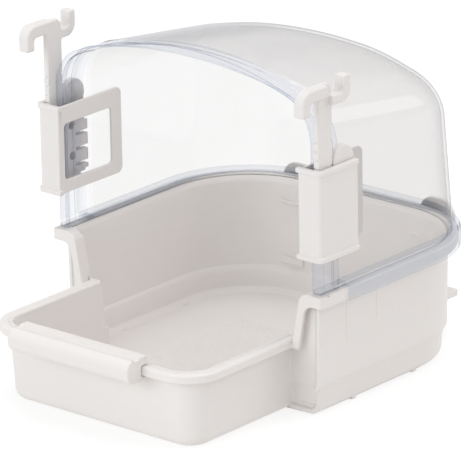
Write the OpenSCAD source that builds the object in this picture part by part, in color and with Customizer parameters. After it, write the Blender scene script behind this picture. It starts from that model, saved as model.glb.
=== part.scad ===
// Cage bird bath: a white basin with a front tray, a clear arched cover, two notched hanging hooks
// in holders and a clip-on perch. Millimetres, +Z up, +Y to the back, front lip plane at Y = 0.

/* [Basin] */
// overall width of the wide rear rim
rim_w = 158; // [120:1:220]
// rear face of the tub wall
tub_back = 123.5; // [90:0.5:170]
// height of the wide rear rim
rim_z = 59; // [45:0.5:80]
// how far the rim lip stands out from the wall
lip_over = 4.4; // [3:0.1:6]
// height of the downturned lip on the wide rim
lip_h = 5.5; // [4:0.1:8]
// height of the downturned lip on the tray rim
tray_lip_h = 4.2; // [3:0.1:6]
// thickness of the basin wall and floor
wall = 2; // [1.6:0.1:3]
// radius of the rear corners of the tub wall
back_r = 42; // [28:1:50]
// height of the step round the lower tub
step_z = 15; // [10:0.5:25]
// how far the lower tub is stepped in
step_in = 2.6; // [1.5:0.1:4]
// radius along the bottom edges
bottom_r = 4.6; // [3:0.2:7]

/* [Tray] */
// how far the tray rim is set in from the wide rim, each side
tray_in = 17; // [12:0.5:30]
// how far the tray rim stands out in front
tray_l = 66.4; // [45:0.5:90]
// height of the tray rim
tray_z = 36.3; // [25:0.5:45]
// radius of the front corners of the tray wall
tray_r = 13; // [8:0.5:20]
// how much narrower the tray wall is at the bottom, each side
tray_draft = 1.8; // [0.5:0.1:3]
// width of the bright upright lip beside the tray opening
strip_w = 4; // [3:0.2:5]

/* [Cover] */
// thickness of the clear cover
cover_t = 1.6; // [1.2:0.1:2.4]
// height of the upright legs from the rim to the shoulders of the arch
leg_h = 67.1; // [58:0.5:90]
// rise of the front arch above its shoulders
arch_rise = 31.1; // [26:0.5:45]
// shoulder radius of the arch
arch_rc = 20; // [14:0.5:24]
// depth of the raised front band
band_d = 12.5; // [8:0.5:20]
// how far the front band stands out beside the wall of the dome
band_out = 3.6; // [2:0.1:5]
// width of the bead along each edge of the front band
bead_w = 2.4; // [1.5:0.1:4]
// how much the roof falls toward the back, degrees
roof_fall = 7.2; // [2:0.1:12]
// radius between roof and rear wall
roof_back_r = 26; // [12:1:30]
// radius that rounds the two rear top corners
corner_r = 50; // [36:1:60]
// height of the skirt that hangs over the rim lip
skirt_h = 8.4; // [6:0.2:12]
// where the skirt begins behind the front lip
skirt_y = 19; // [15:0.5:30]

/* [Holders and hooks] */
// height of a holder
hold_h = 41.3; // [36:0.2:48]
// drop of the top of a holder below the shoulders of the arch
hold_drop = 7.7; // [5:0.1:12]
// depth of the outer side plate
hold_d = 26; // [20:0.5:34]
// depth of the inner plate with the window
plate_d = 43; // [36:0.5:50]
// thickness of the hook shank
shank_t = 2.8; // [2.2:0.1:3.2]
// depth of the hook shank from front to back
shank_d = 9.6; // [8:0.2:12]
// thickness of the sliding lock
lock_t = 3.2; // [2.6:0.1:4]
// width of the hook arms, which stand out past the shank
arm_w = 5.6; // [4:0.1:8]
// height of the hook arms above the holder
hook_up = 38.9; // [34:0.1:50]
// gap for the cage wire in the front hook
front_throat = 8.1; // [5:0.1:12]
// gap for the cage wire in the rear hook
rear_throat = 5.3; // [4.6:0.1:8]
// spacing of the notches on the shank
notch_pitch = 4; // [3:0.5:6]
// radius of the half-round thumb tab on the lock
tab_r = 7; // [6:0.2:8]

/* [Perch] */
// length of the perch
perch_l = 71; // [50:1:90]
// depth of the perch from front to back
perch_d = 13; // [11:0.2:16]
// height of the perch top above the tray rim
perch_up = 4.6; // [3.8:0.1:6]

/* [Hidden] */
$fn = 64;
white = [0.93, 0.93, 0.91];
clear = [0.80, 0.86, 0.92, 0.45];
tub_a = rim_w / 2 - lip_over;              // half width of the tub wall
tray_a = tub_a - tray_in;                  // half width of the tray wall
tray_y = -tray_l + lip_over;               // front face of the tray wall
open_a = tray_a + lip_over + 0.4;          // half width of the opening at the tray rim
skirt_t = 1;                               // thickness of the skirt
open_slope = 0.194;                        // how the opening widens upward
roll_r = 4;                                // rolled inner edge of the wide rim
foot_h = 0.1;                              // underside of the tub above the underside of the tray
tub_draft = 0.8;                           // draft of the upper and the lower wall
low_draft = 0.7;
tab_x = tub_a - 33.6;                      // middle of the tabs on the rear wall
gap = 0.3;                                 // gap between touching pieces
cov_z = rim_z + gap;                       // underside of the cover flange
cov_a = tub_a - 0.9;                       // half width of the dome wall
cov_y = 2.5;                               // front plane of the cover
cov_r = back_r - 7;                        // rear corner radius of the dome
dome_tilt = 6;                             // how far the rear wall of the dome tilts forward, degrees
corner_turn = 45;                          // direction of the rounded top corners, degrees from straight back
corner_fall = 14;                          // fall of the roof toward them, degrees
band_step = 1.6;                           // how far the front band stands above the roof
groove_d = 0.9;                            // depth of the groove between the beads of the band
spring_z = cov_z + leg_h;                  // shoulders of the arch, above which it curves in
arch_z = spring_z + arch_rise;             // crown of the front arch
arch_a = cov_a + band_out;                 // half width of the front arch
leg_a = cov_a - cover_t;                   // inner face of the cover legs
inner_t = 1.3;                             // thickness of the holder plate inside the cover
plate_t = 1.8;                             // plate thickness of a holder
shank_x = arch_a + gap;                    // inner face of a hook shank
hold_x0 = leg_a - gap - inner_t;           // inner face of a holder
hold_x1 = shank_x + lock_t + gap + plate_t; // outer face of a holder
hold_w = hold_x1 - hold_x0;
hold_y = -4;                               // front face of a holder
hold_z1 = spring_z - hold_drop;            // top of a holder
hold_z0 = hold_z1 - hold_h;                // underside of a holder
hold_r = 2.4;                              // rounded upright edge of a holder
collar = 0.9;                              // how far the rolled edges of a holder stand out
collar_h = 2.2;                            // height of the rolled edges
frame_w = 4;                               // width of the frame round the window of the inner plate
shank_y = hold_y + plate_t + gap;          // front edge of a hook shank
shank_z0 = hold_z0 + 2;                    // lower end of a hook shank
hook_z = hold_z1 + hook_up;                // top of the front hook arm
arm_h = 6;                                 // height of the front hook arm
tip_d = 4.8;                               // depth of the front hook tip
tip_l = 5.8;                               // how far the front hook tip reaches down below its arm
arm_r = 5.6;                               // outer radius of the hook arms
lock_y = shank_y + shank_d + gap;          // front edge of a lock
lock_y1 = hold_y + hold_d + 1.6;           // rear edge of a lock
rack_pitch = 7.3;                          // spacing of the slots in the rack of a lock
perch_y1 = -tray_l + 3.4;                  // rear face of the perch
perch_y0 = perch_y1 - perch_d;
perch_x = -3;                              // the perch sits a little off centre

// Sections are drawn with the wall face at x = 0 and the inside at negative x, down to x = -$deep.
// outer face of the tub: rounded bottom edge, lower wall, step, upper wall
module tub_outline() {
    lo = -step_in - low_draft;
    polygon([[-$deep, foot_h], [lo - bottom_r, foot_h], [lo - bottom_r, foot_h + bottom_r],
             [lo, foot_h + bottom_r], [-step_in, step_z - step_in], [-tub_draft, step_z], [0, rim_z],
             [-$deep, rim_z]]);
    intersection() {
        translate([lo - bottom_r, foot_h + bottom_r]) circle(bottom_r);
        translate([lo - bottom_r, foot_h]) square(bottom_r);
    }
}

module tub_section() {
    lo = -step_in - low_draft - wall;
    difference() {
        tub_outline();
        polygon([[-$deep - 1, foot_h + wall], [lo - 2.4, foot_h + wall], [lo, foot_h + wall + 2.4],
                 [-step_in - wall, step_z - 2.6], [-step_in - wall + 1.2, step_z - 0.8],
                 [-tub_draft - wall, step_z - 0.4], [-wall, rim_z - roll_r], [-wall, rim_z + 1],
                 [-$deep - 1, rim_z + 1]]);
        difference() {
            translate([-wall - 0.5, rim_z - roll_r]) square([roll_r + 0.5, roll_r + 1]);
            translate([roll_r - wall, rim_z - roll_r]) circle(roll_r);
            translate([roll_r - wall - 2, rim_z - roll_r - 1]) square([3, 0.5]);
        }
    }
}

module tray_section() {
    lo = -tray_draft;
    difference() {
        union() {
            polygon([[-$deep, foot_h - 0.1], [lo - bottom_r, foot_h - 0.1],
                     [lo - bottom_r, foot_h - 0.1 + bottom_r], [lo, foot_h - 0.1 + bottom_r],
                     [0, tray_z], [-$deep, tray_z]]);
            intersection() {
                translate([lo - bottom_r, foot_h - 0.1 + bottom_r]) circle(bottom_r);
                translate([lo - bottom_r, foot_h - 0.1]) square(bottom_r);
            }
        }
        polygon([[-$deep - 1, foot_h + wall - 0.1], [lo - wall - 2.4, foot_h + wall - 0.1],
                 [lo - wall, foot_h + wall + 2.3], [-wall, tray_z - 1], [0.8 - wall, tray_z],
                 [0.8 - wall, tray_z + 1], [-$deep - 1, tray_z + 1]]);
    }
}

module rim_section(z, lip) {
    polygon([[-0.6, z - 1.8], [lip_over - 1.7, z - 1.8], [lip_over - 1.7, z - lip], [lip_over, z - lip],
             [lip_over, z - 0.9], [lip_over - 0.3, z - 0.3], [lip_over - 0.9, z],
             [roll_r - wall - 0.4, z], [-0.6, z - 0.9]]);
}

// a section swept round the sides, the rear corners and the rear wall of a tub
module round_back(a, yb, r, y0, $fn = 96) {
    for (s = [0, 1]) mirror([s, 0, 0]) {
        translate([a, yb - r, 0]) rotate([90, 0, 0]) linear_extrude(yb - r - y0) {
            $deep = a;
            children();
        }
        translate([a - r, yb - r, 0]) rotate_extrude(angle = 90) translate([r, 0]) {
            $deep = r;
            children();
        }
    }
    translate([-(a - r), yb, 0]) rotate([90, 0, 90]) linear_extrude(2 * (a - r)) {
        $deep = r;
        children();
    }
}

module round_tub(y0) {
    round_back(tub_a, tub_back, back_r, y0) children();
}

// the same round the tray
module round_tray(y1) {
    for (s = [0, 1]) mirror([s, 0, 0]) {
        translate([tray_a, y1, 0]) rotate([90, 0, 0]) linear_extrude(y1 - tray_y - tray_r) {
            $deep = tray_a;
            children();
        }
        translate([tray_a - tray_r, tray_y + tray_r, 0]) rotate([0, 0, 270])
            rotate_extrude(angle = 90) translate([tray_r, 0]) {
                $deep = tray_r;
                children();
            }
    }
    translate([-(tray_a - tray_r), tray_y, 0]) rotate([90, 0, 90])
        linear_extrude(2 * (tray_a - tray_r)) mirror([1, 0]) {
            $deep = tray_r;
            children();
        }
}

// opening edge in X and Z of the shoulder beside the tray
module shoulder_edge(x = 0, z = 0) {
    offset(r = 5) offset(delta = -5)
        polygon([[open_a - 24 * open_slope + x, tray_z - 24], [open_a + (rim_z - z - tray_z) * open_slope + x,
                 rim_z - z], [150, rim_z - z], [150, tray_z - 24]]);
}

module shoulder_lip() {
    intersection() {
        union() {
            translate([0, 1.7, 0]) rotate([90, 0, 0]) linear_extrude(1.7) difference() {
                shoulder_edge();
                shoulder_edge(strip_w, lip_h);
            }
            translate([0, lip_over + 1, 0]) rotate([90, 0, 0]) linear_extrude(lip_over + 0.5)
                difference() {
                    shoulder_edge();
                    shoulder_edge(1.8, 1.8);
                }
        }
        translate([0, -1, tray_z - tray_lip_h]) cube([rim_w / 2, 20, rim_z]);
    }
}

// wall of the shoulder, set back under the lip
module shoulder_wall() {
    intersection() {
        translate([0, lip_over, 0]) rotate([90, 0, 90]) linear_extrude(tub_a) mirror([1, 0]) {
            $deep = 9;
            difference() {
                tub_section();
                translate([-20, foot_h + wall - 0.05]) square([20 - step_in - wall - 1.6, step_z]);
            }
        }
        translate([0, 20, 0]) rotate([90, 0, 0]) linear_extrude(20) intersection() {
            translate([tub_a, 0]) {
                $deep = tub_a;
                tub_outline();
            }
            union() {
                shoulder_edge();
                polygon([[tray_a - tray_draft - wall / 2, 0], [150, 0], [150, tray_z],
                         [tray_a - wall / 2, tray_z]]);
            }
        }
    }
}

module side_rib(y, z, w) {
    for (s = [-1, 1]) translate([s * (tub_a - 0.4), y, z]) translate([-0.9, 0, 0])
        cube([1.8, w, rim_z - 3 - z]);
}

// a rounded tab standing behind the rim on a short bracket
module back_tab(x) {
    translate([x - 10, tub_back + 8.2, 0]) rotate([90, 0, 0]) linear_extrude(1.8) {
        offset(r = 8) offset(delta = -8) square([20, rim_z + 4]);
    }
}

module basin() color(white) {
    step_y = lip_over + step_in;
    round_tub(step_y) tub_section();
    round_tub(0) rim_section(rim_z, lip_h);
    for (s = [0, 1]) mirror([s, 0, 0]) {
        translate([tub_a, step_y, 0]) rotate([90, 0, 0]) linear_extrude(step_in) intersection() {
            $deep = tub_a;
            tub_section();
            translate([-20, step_z - step_in]) square([40, rim_z]);
        }
        shoulder_wall();
        shoulder_lip();
    }
    round_tray(lip_over + wall) union() {
        tray_section();
        rim_section(tray_z, tray_lip_h);
    }
    for (s = [0, 1]) mirror([s, 0, 0])
        translate([tray_a, step_y + wall, 0]) rotate([90, 0, 0]) linear_extrude(step_in + 1)
            intersection() {
                $deep = tray_a;
                tray_section();
                translate([-100, 0]) square([100, step_z - 1]);
            }
    side_rib(skirt_y + 4.5, tray_z - 5, 4.5);
    side_rib(skirt_y + 25.6, tray_z, 2.4);
    for (x = [-tab_x, tab_x]) {
        intersection() {
            back_tab(x);
            translate([x - 12, tub_back, rim_z - 13]) cube([24, 20, 30]);
        }
        translate([x - 8, tub_back - 4, rim_z - 13]) cube([16, 11, 1.8]);
        // small shelf low on the rear wall
        translate([x - 10, tub_back - 4.6, step_z + 1.5]) cube([20, 14, 3.4]);
    }
    for (s = [-1, 1], y = [0.26, 0.61] * tub_back)
        translate([s * (tub_a - step_in - low_draft - 3.1) - 1.8, y, 0]) cube([3.6, 3, 2.6]);
}

// front arch: upright legs, round shoulders and a large crown radius
module arch(a, top, rc) {
    zs = spring_z;
    rt = (pow(a - rc, 2) + pow(top - zs, 2) - rc * rc) / (2 * (top - zs - rc));
    intersection() {
        union() {
            translate([-a, cov_z - 30]) square([2 * a, zs - cov_z + 30]);
            intersection() {
                translate([0, top - rt]) circle(rt, $fn = 240);
                union() {
                    translate([-(a - rc), zs - 1]) square([2 * (a - rc), top]);
                    for (s = [-1, 1]) translate([s * (a - rc), zs]) circle(rc);
                    polygon([[0, top - rt], [(a - rc) * 2, top - rt + (zs - top + rt) * 2],
                             [-(a - rc) * 2, top - rt + (zs - top + rt) * 2]]);
                }
            }
        }
        translate([-a, cov_z - 30]) square([2 * a, top + 100]);
    }
}

// the arch drawn along a line that falls toward the back
module vault(a, top, rc, y0, y1) {
    intersection() {
        rotate([90 - roof_fall, 0, 0]) translate([0, 0, -tub_back - 60])
            linear_extrude(tub_back + arch_z) arch(a, top, rc);
        translate([-a - 1, y0, cov_z]) cube([2 * a + 2, y1 - y0, arch_z]);
    }
}

module dome(o, y0) {
    intersection() {
        vault(cov_a - o, arch_z - band_step - o, arch_rc - o, y0, tub_back + 1 - o);
        dome_plan(o);
        roof_prism((arch_z - band_step - 0.1) * cos(roof_fall), roof_fall,
                   tub_back * cos(dome_tilt) + cov_z * sin(dome_tilt), dome_tilt, roof_back_r, o);
        corner_prism(o);
        mirror([1, 0, 0]) corner_prism(o);
    }
}

// rounds the rear top corner on the right
module corner_prism(o) {
    rotate([0, 0, -corner_turn])
        roof_prism(arch_z + 1, corner_fall,
                   (cov_a - cov_r) * sin(corner_turn) + (tub_back - cov_r) * cos(corner_turn) + cov_r + 3,
                   0, corner_r, o);
}

module roof_prism(roof, fall, back, lean, r, o) {
    rotate([90, 0, 90]) translate([0, 0, -rim_w]) linear_extrude(2 * rim_w)
        roof_outline(roof, fall, back, lean, r, o);
}

// plan of the dome run up along a direction that tilts forward
module dome_plan(o, z0 = -6, z1 = 130) {
    translate([0, tub_back, cov_z]) rotate([dome_tilt, 0, 0]) translate([0, -tub_back, 0])
        round_back(cov_a, tub_back, cov_r, -40)
            polygon([[-$deep, z0], [-o, z0], [-o, z1], [-$deep, z1]]);
}

// roof line, rear wall and the round edge between them, seen from the side
module roof_outline(roof, fall, back, lean, r, o) {
    d1 = roof - r;
    d2 = back - r;
    n1 = [sin(fall), cos(fall)];
    n2 = [cos(lean), sin(lean)];
    c = [n1.y * d2 - n2.y * d1, n2.x * d1 - n1.x * d2] / cos(fall + lean);
    t1 = c + (r - o) * n1;
    t2 = c + (r - o) * n2;
    front = t1.x + rim_w;
    polygon([[t1.x - front, -20], t2 + (t2.y + 20) * [tan(lean), -1], t2, t1,
             t1 + front * [-1, tan(fall)]]);
    translate(c) circle(r - o);
}

// flange that lies over the rim, and the skirt that hangs outside its lip
module skirt_section() {
    x1 = lip_over + gap + skirt_t;
    polygon([[-cover_t - 0.6, cov_z], [lip_over + gap, cov_z], [lip_over + gap, cov_z + 2.2 - skirt_h],
             [x1, cov_z + 2.2 - skirt_h], [x1, cov_z + 1.2], [x1 - 0.3, cov_z + 1.9],
             [x1 - 1, cov_z + 2.2], [-cover_t - 0.6, cov_z + 2.2]]);
}

// raised band along the front arch, with a bead along each edge
module front_band() {
    difference() {
        vault(arch_a, arch_z, arch_rc, cov_y, cov_y + band_d);
        vault(cov_a - 1, arch_z - 3.4, arch_rc - 2, cov_y - 1, cov_y + band_d + 1);
        difference() {
            translate([-rim_w, cov_y + bead_w, cov_z - 1]) cube([2 * rim_w, band_d - 2 * bead_w, arch_z]);
            vault(arch_a - groove_d, arch_z - groove_d, arch_rc - groove_d, cov_y, cov_y + band_d);
        }
    }
}

module cover() color(clear) {
    difference() {
        union() {
            dome(0, cov_y);
            front_band();
            round_tub(skirt_y) skirt_section();
            for (s = [0, 1]) mirror([s, 0, 0]) translate([leg_a + 0.4, cov_y + 0.2, cov_z])
                cube([arch_a - leg_a - 0.8, 18, 1.9]);
        }
        dome(cover_t, cov_y - 5);
        dome_plan(cover_t, -12, 5);
    }
}

// plan of the sleeve: front wall and outer side wall with a rounded corner between them
module sleeve_plan(out) {
    far = hold_w + hold_d;
    difference() {
        intersection() {
            translate([hold_x1 + out - far, hold_y - out]) offset(r = hold_r + out)
                offset(delta = -hold_r - out) square([far, 2 * far]);
            translate([hold_x0 - out, hold_y - out]) square([hold_w + 2 * out, hold_d + out]);
        }
        translate([hold_x1 - plate_t - far, hold_y + plate_t]) square([far, 2 * far]);
    }
}

module holder() {
    difference() {
        union() {
            translate([0, 0, hold_z0]) linear_extrude(hold_h) sleeve_plan(0);
            // rolled edges at the top and the bottom
            for (z = [hold_z0 - 0.4, hold_z1 + 0.4 - collar_h])
                translate([0, 0, z]) linear_extrude(collar_h) sleeve_plan(collar);
            translate([hold_x0 + inner_t, hold_y, hold_z0]) rotate([0, -90, 0])
                linear_extrude(inner_t) offset(r = 3.4) offset(delta = -3.4) square([hold_h, plate_d]);
            translate([hold_x0, hold_y, hold_z0]) cube([inner_t, 6, hold_h]);
        }
        translate([hold_x0 - 2, hold_y + frame_w, hold_z0 + frame_w + 2]) rotate([90, 0, 90])
            linear_extrude(inner_t + 4) offset(r = 2) offset(delta = -2)
                square([plate_d - 2 * frame_w - 3, hold_h - 2 * frame_w - 6.6]);
    }
}

// front arm with its tip turned down, seen from the side
module front_arm() {
    y0 = shank_y - front_throat - tip_d;
    difference() {
        intersection() {
            translate([y0, hook_z - 40]) offset(r = arm_r) offset(delta = -arm_r) square(40);
            translate([y0, hook_z - arm_h - tip_l])
                square([shank_y + shank_d * 0.4 - y0, arm_h + tip_l]);
        }
        translate([y0 + tip_d, hook_z - arm_h - 30]) offset(r = 1.8) offset(delta = -1.8)
            square([30, 30]);
    }
}

// rear arm with its tip turned up
module rear_arm() {
    y0 = shank_y + shank_d;
    y1 = y0 + rear_throat + 4.4;
    z0 = hook_z - 10.2;
    difference() {
        intersection() {
            translate([y1 - 40, z0]) offset(r = arm_r) offset(delta = -arm_r) square(40);
            translate([y0 - 3, z0]) square([y1 - y0 + 3, 11.8]);
        }
        translate([y0 + rear_throat - 30, z0 + 4.6]) offset(r = 2.2) offset(delta = -2.2) square(30);
    }
}

module notch_row(y, z, side, tilt) {
    translate([y, z]) polygon([[0, 0], [side * 1.3, 0.6], [0, tilt]]);
}

module shank_outline() {
    difference() {
        translate([shank_y, shank_z0]) square([shank_d, hook_z - shank_z0]);
        for (i = [0 : floor((hook_up + hold_h - 32) / notch_pitch)]) {
            z = shank_z0 + 3 + i * notch_pitch;
            notch_row(shank_y - 0.5, z, 1, 1.8);
            notch_row(shank_y + shank_d + 0.5, z, -1, 1.8);
        }
        translate([shank_y + shank_d, hook_z]) rotate(45) square(3, center = true);
    }
}

module hook() {
    translate([shank_x, 0, 0]) rotate([90, 0, 90]) {
        linear_extrude(shank_t) shank_outline();
        linear_extrude(arm_w) front_arm();
        linear_extrude(arm_w) rear_arm();
        linear_extrude(shank_t) translate([shank_y + 2, hook_z - arm_h]) square([shank_d - 3, arm_h - 1.6]);
    }
}

// slotted rack with a half-round thumb tab above the holder
module lock_outline() {
    difference() {
        union() {
            translate([lock_y, hold_z0 + 4]) square([lock_y1 - lock_y - 2.2, hold_h - 4]);
            translate([lock_y, hold_z0 + 5]) square([lock_y1 - lock_y, 3.2 * rack_pitch]);
            translate([lock_y + tab_r, hold_z1 + 1]) intersection() {
                circle(tab_r);
                translate([-tab_r, -2]) square([2 * tab_r, tab_r + 2]);
            }
        }
        for (i = [0 : 2]) translate([lock_y1, hold_z0 + 8 + i * rack_pitch]) {
            translate([-7.4, -0.8]) square([10, 1.6]);
            translate([-7.4, 0]) circle(0.8);
        }
        for (i = [0, 2]) translate([lock_y + 5, hold_z0 + 12.8 + i * rack_pitch]) circle(1.9);
    }
}

module lock() {
    translate([shank_x, 0, 0]) rotate([90, 0, 90]) linear_extrude(lock_t) lock_outline();
}

// round bar with a shallow groove on top and a slot behind that grips the lip of the tray rim
module perch_outline() {
    z1 = tray_z + perch_up;
    z0 = tray_z - tray_lip_h - gap - 2;
    difference() {
        union() {
            translate([perch_y0, z0]) offset(r = 4.6) offset(delta = -4.6) square([perch_d, z1 - z0]);
            translate([perch_y1 - 5, z1 - 4.2]) square([5, 4.2]);
        }
        translate([perch_y0 + 4, z1 - 0.8]) square([3.8, 1]);
        translate([-tray_l - gap, z0 + 2]) square([20, z1 - z0 - 2 - perch_up + gap]);
        translate([-tray_l + 2.2, z0 - 1]) square([20, 4]);
    }
}

module perch() color(white) {
    translate([perch_x - perch_l / 2, 0, 0]) rotate([90, 0, 90]) linear_extrude(perch_l) perch_outline();
}

module left_holder() color(white) mirror([1, 0, 0]) holder();
module right_holder() color(white) holder();
module left_hook() color(white) mirror([1, 0, 0]) hook();
module right_hook() color(white) hook();
module left_lock() color(white) mirror([1, 0, 0]) lock();
module right_lock() color(white) lock();

basin();
cover();
perch();
left_holder();
right_holder();
left_hook();
right_hook();
left_lock();
right_lock();
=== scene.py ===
"""Dresses the cage bird bath: clear hood, moulded basin, hooks, holders and perch, on a pale stage."""

import math

import bmesh
import bpy
import numpy as np
from bpy.props import FloatProperty, FloatVectorProperty, IntProperty, PointerProperty
from mathutils import Matrix, Vector


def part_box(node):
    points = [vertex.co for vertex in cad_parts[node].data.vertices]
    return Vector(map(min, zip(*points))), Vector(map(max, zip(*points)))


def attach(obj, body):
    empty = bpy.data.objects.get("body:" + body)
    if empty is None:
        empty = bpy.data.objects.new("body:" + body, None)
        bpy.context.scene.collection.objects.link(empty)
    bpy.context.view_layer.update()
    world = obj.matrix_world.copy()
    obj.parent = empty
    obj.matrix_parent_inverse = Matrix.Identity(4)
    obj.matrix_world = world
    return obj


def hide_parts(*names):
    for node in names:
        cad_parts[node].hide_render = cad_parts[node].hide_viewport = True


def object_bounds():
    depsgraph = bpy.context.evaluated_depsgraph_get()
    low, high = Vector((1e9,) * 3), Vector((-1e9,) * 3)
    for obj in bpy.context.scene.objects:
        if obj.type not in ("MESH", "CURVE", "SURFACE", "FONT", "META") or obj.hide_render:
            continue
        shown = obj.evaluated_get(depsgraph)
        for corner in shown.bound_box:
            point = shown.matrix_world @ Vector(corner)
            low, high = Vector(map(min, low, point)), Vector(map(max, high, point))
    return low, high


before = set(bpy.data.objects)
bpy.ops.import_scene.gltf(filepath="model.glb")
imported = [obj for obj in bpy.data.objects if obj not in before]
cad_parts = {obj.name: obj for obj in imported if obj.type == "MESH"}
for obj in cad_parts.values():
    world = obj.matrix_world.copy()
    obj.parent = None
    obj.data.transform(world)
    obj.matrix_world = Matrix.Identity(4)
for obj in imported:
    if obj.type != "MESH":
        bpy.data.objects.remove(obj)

bl_info = {
    "name": "Cage bird bath",
    "version": (1, 1, 0),
    "blender": (4, 5, 0),
    "location": "View3D > Sidebar > Bird bath",
    "description": "Builds the looks of a hang-on bird bath round its CAD model",
    "category": "Object",
}

CAD_BOX = [list(corner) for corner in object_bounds()]
MM = 0.001
SIDES = ("left", "right")

# Places that several pieces share, in millimetres
TUB_HALF = 74.6             # half width of the tub wall under the rim
TUB_RADIUS = 42.0           # radius of its rear corners
RIM_TOP = 59.0              # height of the tub's rim
SKIRT_DROP = 6.2            # how far the skirt hangs under the flange
FLANGE_THICK = 2.2          # thickness of the flange on the rim
FLANGE_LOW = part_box("cover")[0].z / MM + SKIRT_DROP
FLANGE_TOP = FLANGE_LOW + FLANGE_THICK
BAND_BACK = 15.7            # where the front band has sunk into the dome, measured from the front lip plane
BEAD_EDGES = (5.0, 12.6)    # inner edges of the two beads of the band
OUTSIDE, INSIDE, SKIRT, BAND = range(4)    # material slots of the hood


# Settings

class BathColours(bpy.types.PropertyGroup):
    """Colours and finishes of the moulded pieces."""

    white: FloatVectorProperty(
        name="White plastic", description="Colour of the basin and the perch",
        subtype="COLOR", size=3, min=0, max=1, default=(0.80, 0.768, 0.748))
    bracket: FloatVectorProperty(
        name="Bracket plastic", description="Colour of the hooks, holders and locks",
        subtype="COLOR", size=3, min=0, max=1, default=(0.78, 0.752, 0.738))
    # painted shade: the dark blue grey that the clear plastic is painted in a line where it is seen edge on
    painted_edge_shade: FloatVectorProperty(
        name="Edge tint", description="Colour that the clear plastic takes where it is seen edge on",
        subtype="COLOR", size=3, min=0, max=1, default=(0.055, 0.06, 0.12))
    sheet_tint: FloatVectorProperty(
        name="Sheet tint", description="Light that gets through one face of the hood",
        subtype="COLOR", size=3, min=0, max=1, default=(0.947, 0.944, 0.943))
    gloss: FloatProperty(
        name="Plastic roughness", description="Roughness of the moulded white plastic",
        subtype="FACTOR", min=0.05, max=1, default=0.40)


class HoodShape(bpy.types.PropertyGroup):
    """Sizes of the clear hood."""

    wall: FloatProperty(
        name="Wall", description="Thickness of the clear wall",
        subtype="DISTANCE", unit="LENGTH", min=0.0008, max=0.004, default=0.0016)
    half_width: FloatProperty(
        name="Half width", description="From the middle plane to the outside of a side wall",
        subtype="DISTANCE", unit="LENGTH", min=0.03, max=0.2, default=0.0737)
    crown: FloatProperty(
        name="Crown", description="Height of the roof line over the front edge",
        subtype="DISTANCE", unit="LENGTH", min=0.05, max=0.4, default=0.1559)
    shoulder: FloatProperty(
        name="Shoulder", description="Height at which the side walls turn into the arch",
        subtype="DISTANCE", unit="LENGTH", min=0.05, max=0.4, default=0.1264)
    shoulder_radius: FloatProperty(
        name="Shoulder radius", description="Radius of the rounded shoulders of the arch",
        subtype="DISTANCE", unit="LENGTH", min=0.005, max=0.06, default=0.024)
    back: FloatProperty(
        name="Back", description="From the front lip plane to the foot of the rear wall",
        subtype="DISTANCE", unit="LENGTH", min=0.05, max=0.3, default=0.1235)
    fall: FloatProperty(
        name="Roof fall", description="How much the roof falls toward the back",
        subtype="ANGLE", unit="ROTATION", default=math.radians(7.2))
    lean: FloatProperty(
        name="Rear lean", description="How much the rear wall leans forward",
        subtype="ANGLE", unit="ROTATION", default=math.radians(6.0))
    rear_radius: FloatProperty(
        name="Rear edge radius", description="Radius of the edge between the roof and the rear wall",
        subtype="DISTANCE", unit="LENGTH", min=0.005, max=0.06, default=0.026)
    band_rise: FloatProperty(
        name="Band rise", description="How far the front band stands out of the side walls",
        subtype="DISTANCE", unit="LENGTH", min=0.001, max=0.008, default=0.0036)
    band_groove: FloatProperty(
        name="Band groove", description="Depth of the groove between the two beads of the band",
        subtype="DISTANCE", unit="LENGTH", min=0.0, max=0.002, default=0.0009)
    steps_round: IntProperty(
        name="Steps round the arch", description="Faces of the hood from one foot to the other",
        min=24, max=240, default=128)
    steps_back: IntProperty(
        name="Steps to the back", description="Faces of the hood from the band to the rear wall",
        min=12, max=120, default=56)


class MouldDetail(bpy.types.PropertyGroup):
    """Sizes of the small moulded detail."""

    soft_edge: FloatProperty(
        name="Soft edge", description="Width of the rounding along the moulded edges",
        subtype="DISTANCE", unit="LENGTH", min=0.0001, max=0.001, default=0.00045)
    dot_pitch: FloatProperty(
        name="Dot pitch", description="Spacing of the raised dots on the bath floor",
        subtype="DISTANCE", unit="LENGTH", min=0.0008, max=0.005, default=0.0015)
    dot_radius: FloatProperty(
        name="Dot radius", description="Radius of a raised dot",
        subtype="DISTANCE", unit="LENGTH", min=0.0001, max=0.002, default=0.0004)
    dot_height: FloatProperty(
        name="Dot height", description="How far a dot stands up from the bath floor",
        subtype="DISTANCE", unit="LENGTH", min=0.00005, max=0.001, default=0.00018)


class BathStage(bpy.types.PropertyGroup):
    """Camera and light."""

    camera_distance: FloatProperty(
        name="Camera distance", description="From the camera to the middle of the bath",
        subtype="DISTANCE", unit="LENGTH", min=0.5, max=6, default=2.3818)
    azimuth: FloatProperty(
        name="Azimuth", description="How far the camera stands to the right of the front",
        subtype="ANGLE", unit="ROTATION", default=math.radians(40.98))
    elevation: FloatProperty(
        name="Elevation", description="How far the camera looks down",
        subtype="ANGLE", unit="ROTATION", default=math.radians(19.06))
    roll: FloatProperty(
        name="Roll", description="Turn of the camera about its own axis",
        subtype="ANGLE", unit="ROTATION", default=math.radians(-1.08))
    lens: FloatProperty(
        name="Lens", description="Focal length on a 36 mm sensor", min=50, max=600, default=405.96)
    lamp_level: FloatProperty(
        name="Lamp level", description="Factor on the power of every lamp", min=0.1, max=3, default=1.0)


# Shader expressions

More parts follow.
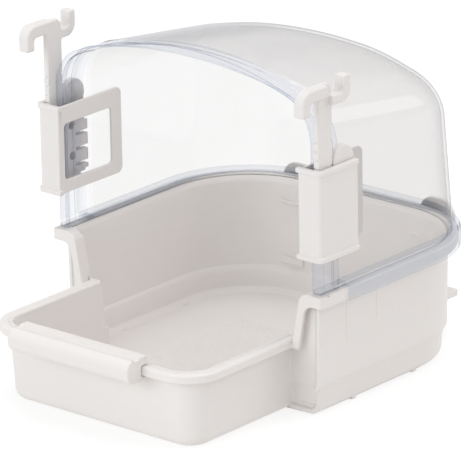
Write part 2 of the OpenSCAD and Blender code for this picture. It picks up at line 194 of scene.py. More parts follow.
class Sock:
    """A shader socket, or a number, with the arithmetic operators."""

    def __init__(self, tree, value):
        self.tree = tree
        self.value = value

    def _math(self, operation, *values):
        node = self.tree.nodes.new("ShaderNodeMath")
        node.operation = operation
        for socket, value in zip(node.inputs, values):
            plug(self.tree, socket, value)
        return Sock(self.tree, node.outputs[0])

    def __add__(self, other):
        return self._math("ADD", self, other)

    def __radd__(self, other):
        return self._math("ADD", other, self)

    def __sub__(self, other):
        return self._math("SUBTRACT", self, other)

    def __rsub__(self, other):
        return self._math("SUBTRACT", other, self)

    def __mul__(self, other):
        return self._math("MULTIPLY", self, other)

    def __rmul__(self, other):
        return self._math("MULTIPLY", other, self)

    def __truediv__(self, other):
        return self._math("DIVIDE", self, other)

    def __pow__(self, other):
        return self._math("POWER", self, other)

    def smallest(self, other):
        return self._math("MINIMUM", self, other)

    def largest(self, other):
        return self._math("MAXIMUM", self, other)

    def rounded(self):
        return self._math("ROUND", self)

    def above(self, limit):
        return self._math("GREATER_THAN", self, limit)

    def below(self, limit):
        return self._math("LESS_THAN", self, limit)

    def clamped(self):
        return self.largest(0.0).smallest(1.0)

    def ramp(self, low, high):
        """0 at low, 1 at high, straight between."""
        return ((self - low) / (high - low)).clamped()


def plug(tree, socket, value):
    if isinstance(value, Sock):
        value = value.value
    if isinstance(value, bpy.types.NodeSocket):
        tree.links.new(value, socket)
    else:
        socket.default_value = value


def add_node(tree, kind, settings=None, **values):
    """Adds a node; values name its input sockets, with _ for a space, or _0 for a place."""
    node = tree.nodes.new(kind)
    for key, value in (settings or {}).items():
        setattr(node, key, value)
    for key, value in values.items():
        wanted = int(key[1:]) if key[1:].isdigit() else key.replace("_", " ")
        plug(tree, node.inputs[wanted], value)
    return node


def seen_rays(tree):
    """Two sockets: 1 for camera and transmission rays, and 1 for rays that see a mirror image."""
    path = tree.nodes.new("ShaderNodeLightPath")
    straight = Sock(tree, path.outputs["Is Camera Ray"])
    through = Sock(tree, path.outputs["Is Transmission Ray"])
    return straight.largest(through), Sock(tree, path.outputs["Is Glossy Ray"])


class Finish:
    """A material with its Principled shader and a short way to add nodes."""

    def __init__(self, name):
        self.material = bpy.data.materials.new(name)
        self.material.use_nodes = True
        self.tree = self.material.node_tree
        self.shader = self.tree.nodes["Principled BSDF"]
        self.output = self.tree.nodes["Material Output"]

    def add(self, kind, out=0, **values):
        return Sock(self.tree, add_node(self.tree, kind, **values).outputs[out])

    def spot(self):
        """Object coordinates in metres."""
        return self.add("ShaderNodeTexCoord", out=3)

    def millimetres(self, spot):
        """A spot's x, y and z in millimetres."""
        split = add_node(self.tree, "ShaderNodeSeparateXYZ", Vector=spot)
        return [Sock(self.tree, socket) / MM for socket in split.outputs]

    def noise(self, spot, scale, detail=3.0, rough=0.5):
        return self.add("ShaderNodeTexNoise", Vector=spot, Scale=scale, Detail=detail, Roughness=rough)

    def stretched(self, spot, scale, turn=(0.0, 0.0, 0.0)):
        return self.add("ShaderNodeMapping", Vector=spot, Scale=scale, Rotation=turn)

    def blend(self, amount, first, second):
        """Mixes two colours."""
        node = self.tree.nodes.new("ShaderNodeMix")
        node.data_type = "RGBA"
        plug(self.tree, node.inputs[0], amount)
        plug(self.tree, node.inputs[6], first)
        plug(self.tree, node.inputs[7], second)
        return Sock(self.tree, node.outputs[2])

    def bump(self, height, strength, distance):
        return self.add("ShaderNodeBump", Height=height, Strength=strength, Distance=distance)

    def set(self, **values):
        for key, value in values.items():
            plug(self.tree, self.shader.inputs[key.replace("_", " ")], value)


def colour4(rgb, factor=1.0):
    return tuple(min(1.0, channel * factor) for channel in rgb) + (1.0,)


def moulded_plastic(name, rgb, rough, dulled):
    """Satin moulded plastic: faint clouds, orange peel, flow marks, handling rubs and water marks."""
    f = Finish(name)
    spot = f.spot()
    cloud = f.noise(spot, 22.0, 3.0)
    peel = f.noise(spot, 1100.0, 2.0)
    flow = f.noise(f.stretched(spot, (60.0, 60.0, 500.0)), 1.0, 4.0)
    rubs = f.noise(f.stretched(spot, (700.0, 90.0, 90.0), (0.2, 0.4, 0.6)), 1.0, 2.0).ramp(0.62, 0.8)
    marks = f.noise(spot, 130.0, 5.0, 0.62).ramp(0.52, 0.72)
    shade = (cloud * 0.6 + flow * 0.4).ramp(0.3, 0.7)
    colour = f.blend(shade, colour4(rgb, 0.982), colour4(rgb, 1.012))
    colour = f.blend(marks * (0.10 + dulled), colour, colour4(rgb, 0.955))
    height = peel * 0.7 + flow * 0.15 + cloud * 0.4
    f.set(Base_Color=colour, Roughness=rough + shade * 0.05 + marks * 0.05 - rubs * 0.07,
          Normal=f.bump(height, 0.10, 0.0002), IOR=1.46)
    return f.material


def clear_plastic(name, tint, edge, edge_shade_strength, rim_glaze):
    """Thin clear plastic: where it is seen edge on, painted shade greys it and draws a dark blue grey line;
    thick places a faint tint.
    """
    f = Finish(name)
    spot = f.spot()
    _, y, z = f.millimetres(spot)
    facing = f.add("ShaderNodeLayerWeight", Blend=0.5, out=1)
    haze = f.noise(spot, 30.0, 3.0).ramp(0.3, 0.7)
    swirl = f.noise(f.stretched(spot, (25.0, 25.0, 140.0)), 1.0, 3.0)
    scuffs = f.noise(f.stretched(spot, (500.0, 30.0, 120.0), (0.5, 0.2, 0.9)), 1.0, 2.0).ramp(0.72, 0.88)
    front_bead, rear_bead = BEAD_EDGES
    band = y.ramp(BAND_BACK + 0.5, BAND_BACK - 0.5) * z.ramp(FLANGE_TOP - 0.5, FLANGE_TOP + 1.5)
    behind_groove = y.ramp(rear_bead - 0.2, rear_bead + 0.2)
    before_groove = y.ramp(front_bead + 0.2, front_bead - 0.2)
    beads = band * behind_groove.largest(before_groove)
    flange = z.ramp(FLANGE_TOP + 0.7, FLANGE_TOP + 0.2)
    thick = band.largest(flange)
    # painted shade: a dark blue grey line where the wall is seen edge on
    line = facing.ramp(0.82, 0.92) * edge_shade_strength
    # how much the surface shows over what is seen through it, the painted edge shade line and grey among it
    glaze = line * 0.74 + (facing ** 3.0) * 0.22 + (facing ** 1.5) * 0.03 + band * 0.04 + flange * rim_glaze
    glaze = glaze + beads * 0.09 + haze * 0.008 + scuffs * 0.012 + 0.022
    near_edge = facing.ramp(0.55, 0.88).largest(thick * 0.75)
    # painted shade: grey, darker toward where the wall is seen edge on
    colour = f.blend(facing.ramp(0.50, 0.80), (0.80, 0.79, 0.785, 1), (0.40, 0.39, 0.40, 1))
    colour = f.blend(thick, colour, (0.52, 0.57, 0.68, 1))
    # the painted edge shade line takes over the colour
    colour = f.blend(line.smallest(1.0), colour, colour4(edge))
    f.set(Base_Color=colour, Roughness=haze * 0.03 + scuffs * 0.06 + 0.05,
          Metallic=(1.0 - near_edge) * 0.9, Normal=f.bump(swirl, 0.02, 0.0004), IOR=1.49)
    ghost = f.add("ShaderNodeBsdfTransparent", Color=colour4(tint))
    mixed = f.add("ShaderNodeMixShader", _0=glaze.clamped(), _1=ghost, _2=f.shader.outputs[0])
    plug(f.tree, f.output.inputs["Surface"], mixed)
    return f.material


# Geometry helpers

FLAT_ANGLE = math.radians(0.5)     # faces closer than this are one flat face
SHARP_ANGLE = math.radians(38)     # edges sharper than this are rounded over
SMOOTH_ANGLE = math.radians(30)    # edges blunter than this are shaded smooth


def give(piece, material):
    slots = piece.data.materials
    if len(slots):
        for i in range(len(slots)):
            slots[i] = material
    else:
        slots.append(material)


def new_piece(name, mesh, body, material):
    """Links a finished mesh as a piece that rides on a body."""
    piece = bpy.data.objects.new(name, mesh)
    bpy.context.scene.collection.objects.link(piece)
    give(piece, material)
    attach(piece, body)
    return piece


def evaluated_mesh(holder, name):
    """The plain mesh of an object with its modifiers worked in; the object is removed."""
    bpy.context.view_layer.update()
    graph = bpy.context.evaluated_depsgraph_get()
    mesh = bpy.data.meshes.new_from_object(holder.evaluated_get(graph))
    mesh.name = name
    holder.modifiers.clear()
    bpy.data.objects.remove(holder)
    return mesh


def softened(node, width, share, moved):
    """A copy of a moulded node with its sharp edges rounded over.

    share gives the part of the width that a spot takes, and moved the place that a spot goes to first.
    """
    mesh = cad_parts[node].data.copy()
    work = bmesh.new()
    work.from_mesh(mesh)
    bmesh.ops.remove_doubles(work, verts=work.verts, dist=0.004 * MM)
    bmesh.ops.dissolve_limit(work, angle_limit=FLAT_ANGLE, verts=work.verts, edges=work.edges)
    if moved:
        for vert in work.verts:
            vert.co = moved(vert.co / MM) * MM
    weight = work.edges.layers.float.new("bevel_weight_edge")
    for edge in work.edges:
        middle = (edge.verts[0].co + edge.verts[1].co) / (2 * MM)
        if len(edge.link_faces) == 2 and edge.calc_face_angle(0.0) > SHARP_ANGLE:
            edge[weight] = share(middle) if share else 1.0
    for face in work.faces:
        face.smooth = True
    work.to_mesh(mesh)
    work.free()
    mesh.set_sharp_from_angle(angle=SMOOTH_ANGLE)
    holder = bpy.data.objects.new(node + "_work", mesh)
    bpy.context.scene.collection.objects.link(holder)
    bevel = holder.modifiers.new("soft", "BEVEL")
    bevel.width = width
    bevel.segments = 2
    bevel.limit_method = "WEIGHT"
    bevel.use_clamp_overlap = False
    bevel.loop_slide = False
    bevel.miter_outer = "MITER_ARC"
    weigh = holder.modifiers.new("weigh", "WEIGHTED_NORMAL")
    weigh.weight = 80
    weigh.keep_sharp = True
    return evaluated_mesh(holder, node + "_soft")


def soft_piece(node, body, material, width, share=None, moved=None):
    piece = new_piece(node + "_moulding", softened(node, width, share, moved), body, material)
    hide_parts(node)


# The hood as a field: 0 on its outside, negative inside, in millimetres

class HoodField:
    """Distance of a point to the outside of the hood, or to the front band's arch."""

    START_DEPTH = 20.0            # how far back the point lies from which the dome is measured
    NEAR, FAR = 5.0, 260.0        # reaches between which the hood is looked for
    HALVINGS = 42                 # how often that range is halved
    BAND_STEP = 1.6               # how far the front band stands above the roof
    BAND_TIGHTER = 4.0            # how much smaller the band's shoulder radius is
    CORNER_START = 25.0           # how far to the side the rear edge begins to get rounder
    CORNER_RUN = 45.0             # the distance over which it does
    CORNER_GAIN = 9.0             # how much larger its radius gets

    def __init__(self, shape):
        self.wall = shape.wall / MM
        self.half = shape.half_width / MM
        self.crown = shape.crown / MM
        self.shoulder = shape.shoulder / MM
        self.radius = shape.shoulder_radius / MM
        self.back = shape.back / MM
        self.fall = shape.fall
        self.lean = shape.lean
        self.rear_radius = shape.rear_radius / MM
        self.rise = shape.band_rise / MM
        self.groove = shape.band_groove / MM
        self.base = FLANGE_LOW + 0.05

    def arch(self, spot, half, crown, radius):
        side = np.abs(spot[..., 0])
        height = spot[..., 1] * math.sin(self.fall) + spot[..., 2] * math.cos(self.fall)
        inset, lift = half - radius, crown - self.shoulder
        big = (inset ** 2 + lift ** 2 - radius ** 2) / (2 * (lift - radius))
        wall = side - half
        round_part = np.hypot(side - inset, height - self.shoulder) - radius
        middle = crown - big
        roof = np.hypot(side, height - middle) - big
        # the roof circle touches the shoulder circle on the line through both centres
        past_touch = side * (self.shoulder - middle) - (height - middle) * inset
        curved = np.where(past_touch > 0, round_part, roof)
        return np.where(height < self.shoulder, wall, curved)

    def outside(self, spot):
        side = self.arch(spot, self.half, self.crown, self.radius)
        cos, sin = math.cos(self.lean), math.sin(self.lean)
        rear = cos * spot[..., 1] + sin * spot[..., 2] - (self.back * cos + FLANGE_LOW * sin)
        ease = np.clip((np.abs(spot[..., 0]) - self.CORNER_START) / self.CORNER_RUN, 0.0, 1.0)
        round_off = self.rear_radius + self.CORNER_GAIN * ease * ease * (3 - 2 * ease)
        a, b = side + round_off, rear + round_off
        return np.minimum(np.maximum(a, b), 0.0) + np.hypot(np.maximum(a, 0), np.maximum(b, 0)) - round_off

    def band(self, spot):
        return self.arch(spot, self.half + self.rise, self.crown + self.BAND_STEP,
                         self.radius - self.BAND_TIGHTER)

    def reach(self, field, start, ways, level):
        """How far along each way from the start the field comes up to the level."""
        low = np.full(ways.shape[:-1], self.NEAR)
        high = np.full(ways.shape[:-1], self.FAR)
        for _ in range(self.HALVINGS):
            middle = (low + high) / 2
            under = field(start + ways * middle[..., None]) < level
            low = np.where(under, middle, low)
            high = np.where(under, high, middle)
        return (low + high) / 2


# Profile of the band from the seam with the dome forward along its outside: depth from the front lip
# plane, rise in shares of the groove's depth, and how far the wall follows the band and not the dome
OUTER_BAND = (
    (18.6, 0.0, 0.0), (17.2, 0.0, 0.0), (16.6, 0.0, 0.02), (16.2, 0.0, 0.14), (15.8, 0.0, 0.42),
    (15.45, 0.0, 0.74), (15.15, 0.0, 0.93), (14.8, 0.0, 1.0), (13.8, 0.0, 1.0), (12.9, 0.0, 1.0),
    (12.62, -0.22, 1.0), (12.42, -0.68, 1.0), (12.15, -0.96, 1.0), (11.8, -1.0, 1.0), (8.75, -1.0, 1.0),
    (5.7, -1.0, 1.0), (5.35, -0.96, 1.0), (5.08, -0.68, 1.0), (4.88, -0.22, 1.0), (4.6, 0.0, 1.0),
    (3.6, 0.0, 1.0), (3.1, -0.05, 1.0), (2.72, -0.25, 1.0), (2.52, -0.7, 1.0),
)
# The same along the inside, from the front edge back: depth, level under the outside, how much band
INNER_BAND = (
    (2.52, -1.0, 0.0), (2.7, -1.45, 0.0), (3.0, -1.6, 0.0), (3.7, -1.6, 0.0), (4.0, -1.45, 0.0),
    (4.15, -1.0, 0.0), (4.2, -1.8, 0.5), (4.3, -1.75, 0.92), (4.7, -1.6, 1.0), (9.0, -1.6, 1.0),
    (13.3, -1.6, 1.0), (13.9, -1.6, 0.93), (14.5, -1.6, 0.62), (15.0, -1.6, 0.28), (15.6, -1.6, 0.06),
    (16.3, -1.6, 0.0), (18.6, -1.6, 0.0),
)


def hood_shell(work, hood, around, backward):
    """Adds the dome and the band as one closed wall."""
    theta = np.linspace(0.0, math.pi, around + 1)
    flat = np.stack([np.cos(theta), np.zeros_like(theta), np.sin(theta)], axis=-1)

    def dome_row(beta, level):
        start = np.array([0.0, hood.START_DEPTH, hood.base])
        ways = flat * math.cos(beta) + np.array([0.0, math.sin(beta), 0.0])
        return start + ways * hood.reach(hood.outside, start, ways, level)[..., None]

    def band_row(depth, wall_level, band_level, share):
        start = np.array([0.0, depth, hood.base])
        run = hood.reach(hood.outside, start, flat, wall_level)
        if share:
            run = run * (1 - share) + hood.reach(hood.band, start, flat, band_level) * share
        return start + flat * run[..., None]

    turns = np.linspace(0.0, math.pi / 2, backward + 1)
    rows = [dome_row(turn, 0.0) for turn in turns[::-1]]
    rows += [band_row(depth, 0.0, rise * hood.groove, share) for depth, rise, share in OUTER_BAND]
    rows += [band_row(depth, level, level, share) for depth, level, share in INNER_BAND]
    rows += [dome_row(turn, -hood.wall) for turn in turns]
    verts = [[work.verts.new(Vector(spot) * MM) for spot in row] for row in rows]
    band_end = backward + 1 + len(OUTER_BAND) + len(INNER_BAND)
    for n, (first, second) in enumerate(zip(verts, verts[1:])):
        slot = OUTSIDE if n <= backward else BAND if n < band_end else INSIDE
        for i in range(around):
            face = work.faces.new((first[i], first[i + 1], second[i + 1], second[i]))
            face.material_index = slot
    last = len(verts) - 1
    for end in (0, around):
        for i in range(backward):
            work.faces.new((verts[i][end], verts[i + 1][end], verts[last - i - 1][end], verts[last - i][end]))
        work.faces.new([verts[i][end] for i in range(backward, last - backward + 1)])


def rim_path(half, back, radius, start):
    """Points of the rim line with their outward directions, from the right front round to the left."""
    points = [((half, y), (1.0, 0.0)) for y in np.linspace(start, back - radius, 14)[:-1]]
    for turn in np.linspace(0, math.pi / 2, 25):
        way = (math.cos(turn), math.sin(turn))
        points.append(((half - radius + radius * way[0], back - radius + radius * way[1]), way))
    points += [((x, back), (0.0, 1.0)) for x in np.linspace(half - radius, 0, 8)[1:]]
    return points + [((-x, y), (-u, v)) for (x, y), (u, v) in points[-2::-1]]


def hood_skirt(work, hood):
    """Adds the flange on the rim and the skirt that hangs outside its lip."""
    skirt_start = 19.0
    run_up = 40.0
    # out from the tub wall, and up from the underside of the flange
    section = ((4.7, 0.0), (4.7, -5.9), (4.82, -6.15), (5.0, -SKIRT_DROP), (5.42, -SKIRT_DROP), (5.6, -6.12),
               (5.7, -5.9), (5.7, 1.1), (5.62, 1.5), (5.4, 1.85), (5.05, 2.1), (4.6, FLANGE_THICK))
    rings = []
    for (x, y), (u, v) in rim_path(TUB_HALF, hood.back, TUB_RADIUS, skirt_start):
        start = np.array([x - run_up * u, y - run_up * v, FLANGE_LOW + 1.0])
        way = np.array([[u, v, 0.0]])
        inner = hood.reach(hood.outside, start, way, -hood.wall / 2)[0] - run_up
        outline = [(out, FLANGE_LOW + up) for out, up in ((inner, 0.0), *section, (inner, FLANGE_THICK))]
        rings.append([work.verts.new(Vector((x + u * out, y + v * out, z)) * MM) for out, z in outline])
    count = len(rings[0])
    for first, second in zip(rings, rings[1:]):
        for i in range(count):
            j = (i + 1) % count
            work.faces.new((first[i], first[j], second[j], second[i]))
    work.faces.new(rings[0])
    work.faces.new(rings[-1])


def hood_feet(work, hood):
    """Adds the strips that close the band's channel where it stands on the rim."""
    x0, x1 = hood.half - 1.2, hood.half + hood.rise - 0.4
    y0, y1 = 2.7, 20.5
    height = 1.9
    size = Vector((x1 - x0, y1 - y0, height))
    for side in (-1, 1):
        made = bmesh.ops.create_cube(work, size=1.0)["verts"]
        centre = Vector((side * (x0 + x1) / 2, (y0 + y1) / 2, hood.base + height / 2))
        for vert in made:
            vert.co = (Vector(vert.co[i] * size[i] for i in range(3)) + centre) * MM
        edges = {edge for vert in made for edge in vert.link_edges}
        bmesh.ops.bevel(work, geom=list(edges), offset=0.35 * MM, segments=2, profile=0.5,
                        affect="EDGES", clamp_overlap=True)


def hood_mesh(shape):
    """The whole hood; its outside, inside, skirt and band have a material slot each."""
    hood = HoodField(shape)
    work = bmesh.new()
    hood_shell(work, hood, shape.steps_round, shape.steps_back)
    walls = set(work.faces)
    hood_skirt(work, hood)
    hood_feet(work, hood)
    for face in work.faces:
        if face not in walls:
            face.material_index = SKIRT
    bmesh.ops.remove_doubles(work, verts=work.verts, dist=0.002 * MM)
    bmesh.ops.recalc_face_normals(work, faces=work.faces)
    for face in work.faces:
        face.smooth = True
    mesh = bpy.data.meshes.new("hood")
    work.to_mesh(mesh)
    work.free()
    mesh.set_sharp_from_angle(angle=math.radians(48))
    return mesh


# Raised dots

class DotTree:
    """Node tree that sets small domes in rows on the flat floor of the bath."""

    FLOOR_HIGH = 0.004        # a spot of the floor lies under this height
    LEVEL = 0.995             # upright part of the normal where the floor is flat

    def __init__(self):
        self.tree = bpy.data.node_groups.new("floor_dots", "GeometryNodeTree")
        face = self.tree.interface
        face.new_socket("Geometry", in_out="OUTPUT", socket_type="NodeSocketGeometry")
        self.keys = {}
        for name, kind in (("Bath", "NodeSocketObject"), ("Width", "NodeSocketFloat"),
                           ("Length", "NodeSocketFloat"), ("Pitch", "NodeSocketFloat"),
                           ("Radius", "NodeSocketFloat"), ("Height", "NodeSocketFloat"),
                           ("Centre", "NodeSocketVector"), ("Plastic", "NodeSocketMaterial")):
            self.keys[name] = face.new_socket(name, in_out="INPUT", socket_type=kind).identifier
        self.inlet = self.add("NodeGroupInput")
        self.build()

    def add(self, kind, settings=None, **values):
        return add_node(self.tree, kind, settings, **values)

    def given(self, name):
        return Sock(self.tree, self.inlet.outputs[name])

    def upright(self, vector):
        """The z of a vector."""
        return Sock(self.tree, self.add("ShaderNodeSeparateXYZ", Vector=vector).outputs["Z"])

    def build(self):
        across = (self.given("Width") / self.given("Pitch")).rounded()
        along = (self.given("Length") / self.given("Pitch")).rounded()
        grid = self.add("GeometryNodeMeshGrid", Size_X=self.given("Width"), Size_Y=self.given("Length"),
                        Vertices_X=across, Vertices_Y=along)
        place = self.add("GeometryNodeTransform", Geometry=grid.outputs["Mesh"],
                         Translation=self.given("Centre"))
        bath = self.add("GeometryNodeObjectInfo", {"transform_space": "ORIGINAL"}, Object=self.given("Bath"))
        cast = self.add("GeometryNodeRaycast", Target_Geometry=bath.outputs["Geometry"],
                        Ray_Direction=(0.0, 0.0, -1.0), Ray_Length=0.03)
        level = self.upright(cast.outputs["Hit Normal"]).above(self.LEVEL)
        deep = self.upright(cast.outputs["Hit Position"]).below(self.FLOOR_HIGH)
        moved = self.add("GeometryNodeSetPosition", Geometry=place.outputs["Geometry"],
                         Position=cast.outputs["Hit Position"], Selection=level * deep)
        # the points off the floor stay at their start height and go
        high = self.upright(self.add("GeometryNodeInputPosition").outputs[0]).above(self.FLOOR_HIGH)
        kept = self.add("GeometryNodeDeleteGeometry", {"domain": "POINT"},
                        Geometry=moved.outputs["Geometry"], Selection=high)
        dome = self.add("GeometryNodeMeshUVSphere", Segments=8, Rings=4, Radius=1.0)
        size = self.add("ShaderNodeCombineXYZ", X=self.given("Radius"), Y=self.given("Radius"),
                        Z=self.given("Height"))
        dots = self.add("GeometryNodeInstanceOnPoints", Points=kept.outputs["Geometry"],
                        Instance=dome.outputs["Mesh"], Scale=size.outputs[0])
        real = self.add("GeometryNodeRealizeInstances", Geometry=dots.outputs["Instances"])
        smooth = self.add("GeometryNodeSetShadeSmooth", Geometry=real.outputs["Geometry"])
        paint = self.add("GeometryNodeSetMaterial", Geometry=smooth.outputs["Geometry"],
                         Material=self.given("Plastic"))
        self.add("NodeGroupOutput", Geometry=Sock(self.tree, paint.outputs["Geometry"]))


# Operators

class BATH_OT_stage(bpy.types.Operator):
    """Sets up the camera, the lamps, the world and the floor"""

    bl_idname = "bath.stage"
    bl_label = "Stage"

    TARGET = Vector((8.2, 25.6, 66.7)) * MM    # middle of the picture
    PIVOT = Vector((0, 20, 70)) * MM           # from where the camera's distance and angles are taken
    LIT = Vector((0, 20, 60)) * MM             # where every lamp points
    MIRRORED = 0.8                             # strength of the world in mirror images
    DIFFUSE = 0.63                             # and as light
    FLOOR_REACH = 6.0                          # from the middle of the floor to its sides

    def execute(self, context):
        stage = context.scene.bath_stage
        self.camera(context, stage)
        self.lamps(context, stage)
        self.world(context)
        self.floor(CAD_BOX[0][2])
        context.scene.view_settings.view_transform = "Standard"
        return {"FINISHED"}

    def camera(self, context, stage):
        out = Vector((math.sin(stage.azimuth) * math.cos(stage.elevation),
                      -math.cos(stage.azimuth) * math.cos(stage.elevation), math.sin(stage.elevation)))
        eye = self.PIVOT + out * stage.camera_distance
        ahead = (self.TARGET - eye).normalized()
        across = ahead.cross(Vector((0, 0, 1))).normalized()
        upward = across.cross(ahead)
        turn = Matrix.Rotation(-stage.roll, 3, ahead)
        across, upward = turn @ across, turn @ upward
        place = Matrix((across, upward, -ahead)).transposed().to_4x4()
        place.translation = eye
        data = bpy.data.cameras.new("camera")
        data.lens = stage.lens
        data.sensor_width = 36.0
        data.clip_end = 50.0
        camera = bpy.data.objects.new("camera", data)
        camera.matrix_world = place
        context.scene.collection.objects.link(camera)
        context.scene.camera = camera

    def lamps(self, context, stage):
        spots = {
            # place, size, watts and colour
            "front_lamp": ((-0.5, -2.7, 0.95), 1.8, 27, (0.92, 0.98, 1.0)),
            "right_front_lamp": ((2.5, -1.2, 1.3), 1.6, 5, (1.0, 0.99, 0.98)),
            "right_rear_lamp": ((1.75, 1.75, 1.3), 1.7, 11, (1.0, 0.985, 0.975)),
            "top_lamp": ((0.1, 0.3, 2.4), 1.8, 22, (1.0, 1.0, 1.0)),
        }
        for name, (place, size, watts, colour) in spots.items():
            data = bpy.data.lights.new(name, "AREA")
            data.shape = "SQUARE"
            data.size = size
            data.energy = watts * stage.lamp_level
            data.color = colour
            lamp = bpy.data.objects.new(name, data)
            lamp.location = place
            lamp.rotation_euler = (self.LIT - Vector(place)).to_track_quat("-Z", "Y").to_euler()
            context.scene.collection.objects.link(lamp)

    def world(self, context):
        world = bpy.data.worlds.new("studio")
        world.use_nodes = True
        tree = world.node_tree
        seen, glossy = seen_rays(tree)
        level = (seen + glossy * self.MIRRORED * (1.0 - seen)).largest(self.DIFFUSE)
        plug(tree, tree.nodes["Background"].inputs["Strength"], level)
        tree.nodes["Background"].inputs["Color"].default_value = (1, 1, 1, 1)
        context.scene.world = world

    def floor(self, height):
        reach = self.FLOOR_REACH
        mesh = bpy.data.meshes.new("floor")
        mesh.from_pydata([(-reach, -reach, height), (reach, -reach, height), (reach, reach, height),
                          (-reach, reach, height)], [], [(0, 1, 2, 3)])
        floor = bpy.data.objects.new("floor", mesh)
        bpy.context.scene.collection.objects.link(floor)
        f = Finish("floor_paint")
        seen, glossy = seen_rays(f.tree)
        grain = f.noise(f.spot(), 40.0).ramp(0.2, 0.8)
        f.set(Base_Color=f.blend(grain, (0.335, 0.335, 0.335, 1), (0.345, 0.345, 0.345, 1)),
              Roughness=0.9, Specular_IOR_Level=0.05, Emission_Strength=1.0,
              Emission_Color=f.blend(seen.largest(glossy), (0.52, 0.51, 0.50, 1), (0.70, 0.70, 0.70, 1)))
        mesh.materials.append(f.material)


class BATH_OT_basin(bpy.types.Operator):
    """Builds the moulded basin with its soft edges and the raised dots on its floor"""

    bl_idname = "bath.basin"
    bl_label = "Basin"

    # The ribs on the tub's side walls, in millimetres
    WALL_DRAFT = 0.8 / 44.0            # how much the wall leans in toward its foot
    RIB_LENGTH = (22.0, 49.0)          # where the ribs begin and end from front to back
    RIB_HEIGHT = (30.0, 56.6)          # and from bottom to top
    RIB_ROOT, RIB_TOP = 73.0, 74.95    # half widths past which a spot is on a rib, or on its top
    RIB_PROUD = 0.1                    # how far the tops stand out

    def execute(self, context):
        colours = context.scene.bath_colours
        detail = context.scene.bath_detail
        plastic = moulded_plastic("basin_plastic", colours.white, colours.gloss, 0.12)
        soft_piece("basin", "basin", plastic, detail.soft_edge,
                   share=self.rib_share, moved=self.flat_rib)
        self.dots(detail, plastic)
        return {"FINISHED"}

    @classmethod
    def on_rib(cls, spot, half_width):
        return (abs(spot.x) > half_width and cls.RIB_LENGTH[0] < spot.y < cls.RIB_LENGTH[1]
                and cls.RIB_HEIGHT[0] < spot.z < cls.RIB_HEIGHT[1])

    @classmethod
    def rib_share(cls, spot):
        """The thin ribs on the side walls are too shallow for a rounding."""
        return 0.0 if cls.on_rib(spot, cls.RIB_ROOT) else 1.0

    @classmethod
    def flat_rib(cls, spot):
        """Lays the ribs close along the wall."""
        if cls.on_rib(spot, cls.RIB_TOP):
            wall = TUB_HALF - cls.WALL_DRAFT * (RIM_TOP - spot.z)
            return Vector((math.copysign(wall + cls.RIB_PROUD, spot.x), spot.y, spot.z))
        return spot

    def dots(self, detail, plastic):
        rows = DotTree()
        holder = bpy.data.objects.new("dots_work", bpy.data.meshes.new("dots_work"))
        bpy.context.scene.collection.objects.link(holder)
        nodes = holder.modifiers.new("dots", "NODES")
        nodes.node_group = rows.tree
        wanted = {"Bath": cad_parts["basin"], "Width": 0.0675, "Length": 0.063,
                  "Pitch": detail.dot_pitch, "Radius": detail.dot_radius, "Height": detail.dot_height,
                  "Centre": (0.0, 0.0455, 0.012), "Plastic": plastic}
        for name, value in wanted.items():
            nodes[rows.keys[name]] = value
        mesh = evaluated_mesh(holder, "floor_dots")
        if len(mesh.polygons) < 1000:
            raise RuntimeError("the raised dots found no floor")
        new_piece("floor_dots", mesh, "basin", plastic)


class BATH_OT_cover(bpy.types.Operator):
    """Builds the clear hood as one smooth shell with its beaded band, flange and skirt"""

    bl_idname = "bath.cover"
    bl_label = "Cover"

    def execute(self, context):
        colours = context.scene.bath_colours
        # light that gets through a face, strength of the painted dark edge line (painted shade), and extra
        # glaze of the flange
        finishes = {
            "hood_outside": (colours.sheet_tint, 1.0, 0.0),
            "hood_inside": (colours.sheet_tint, 0.35, 0.0),
            "hood_skirt": ((0.975, 0.982, 0.99), 1.2, 0.05),
            "hood_band": ((0.972, 0.974, 0.98), 1.25, 0.0),
        }
        plastics = [clear_plastic(name, tint, colours.painted_edge_shade, edge_shade_strength, rim_glaze)
                    for name, (tint, edge_shade_strength, rim_glaze) in finishes.items()]
        hood = new_piece("hood", hood_mesh(context.scene.bath_hood), "cover", plastics[0])
        for plastic in plastics[1:]:
            hood.data.materials.append(plastic)
        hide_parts("cover")
        return {"FINISHED"}


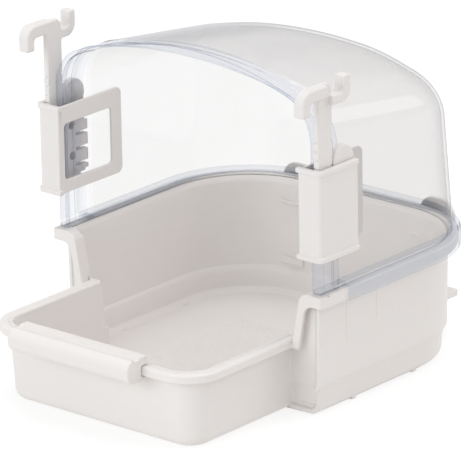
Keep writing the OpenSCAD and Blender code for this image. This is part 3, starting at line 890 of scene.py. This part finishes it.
class BATH_OT_brackets(bpy.types.Operator):
    """Builds the holders, hooks and locks with soft moulded edges"""

    bl_idname = "bath.brackets"
    bl_label = "Brackets"

    ARM_EDGE = 0.8 * MM        # width of the rounding along the arms of a hook
    SHANK_SHARE = 0.4          # part of it that the shank takes
    ARM_FOOT = 140.0           # height at which the arms begin, mm
    PLATE_EDGE = 0.36 * MM     # width of the rounding on holders and locks

    @classmethod
    def arm_share(cls, spot):
        """The arms are rounder than the shank with its notches."""
        return 1.0 if spot.z > cls.ARM_FOOT else cls.SHANK_SHARE

    def execute(self, context):
        colours = context.scene.bath_colours
        plastic = moulded_plastic("bracket_plastic", colours.bracket, colours.gloss + 0.03, 0.05)
        for side in SIDES:
            for part in ("holder", "hook", "lock"):
                name = side + "_" + part
                body = "cover" if part == "holder" else name
                width, share = (self.ARM_EDGE, self.arm_share) if part == "hook" else (self.PLATE_EDGE, None)
                soft_piece(name, body, plastic, width, share)
        return {"FINISHED"}


class BATH_OT_perch(bpy.types.Operator):
    """Builds the perch with its soft edges"""

    bl_idname = "bath.perch"
    bl_label = "Perch"

    def execute(self, context):
        colours = context.scene.bath_colours
        plastic = moulded_plastic("perch_plastic", colours.white, colours.gloss, 0.08)
        soft_piece("perch", "perch", plastic, context.scene.bath_detail.soft_edge)
        return {"FINISHED"}


class BATH_PT_panel(bpy.types.Panel):
    """Lists the settings and the pieces"""

    bl_idname = "BATH_PT_panel"
    bl_label = "Bird bath"
    bl_space_type = "VIEW_3D"
    bl_region_type = "UI"
    bl_category = "Bird bath"

    def draw(self, context):
        scene = context.scene
        for group in (scene.bath_colours, scene.bath_hood, scene.bath_detail, scene.bath_stage):
            box = self.layout.box()
            for key in group.bl_rna.properties.keys():
                if key not in ("rna_type", "name"):
                    box.prop(group, key)
        for operator in OPERATORS:
            self.layout.operator(operator.bl_idname)


OPERATORS = (BATH_OT_stage, BATH_OT_basin, BATH_OT_cover, BATH_OT_brackets, BATH_OT_perch)
GROUPS = {"bath_colours": BathColours, "bath_hood": HoodShape, "bath_detail": MouldDetail,
          "bath_stage": BathStage}
CLASSES = tuple(GROUPS.values()) + OPERATORS + (BATH_PT_panel,)


def register():
    for cls in CLASSES:
        bpy.utils.register_class(cls)
    for name, group in GROUPS.items():
        setattr(bpy.types.Scene, name, PointerProperty(type=group))


def unregister():
    for name in GROUPS:
        delattr(bpy.types.Scene, name)
    for cls in reversed(CLASSES):
        bpy.utils.unregister_class(cls)


def main():
    register()
    bpy.ops.bath.stage()
    bpy.ops.bath.basin()
    bpy.ops.bath.cover()
    bpy.ops.bath.brackets()
    bpy.ops.bath.perch()
    bpy.context.view_layer.update()


if __name__ == "__main__":
    main()
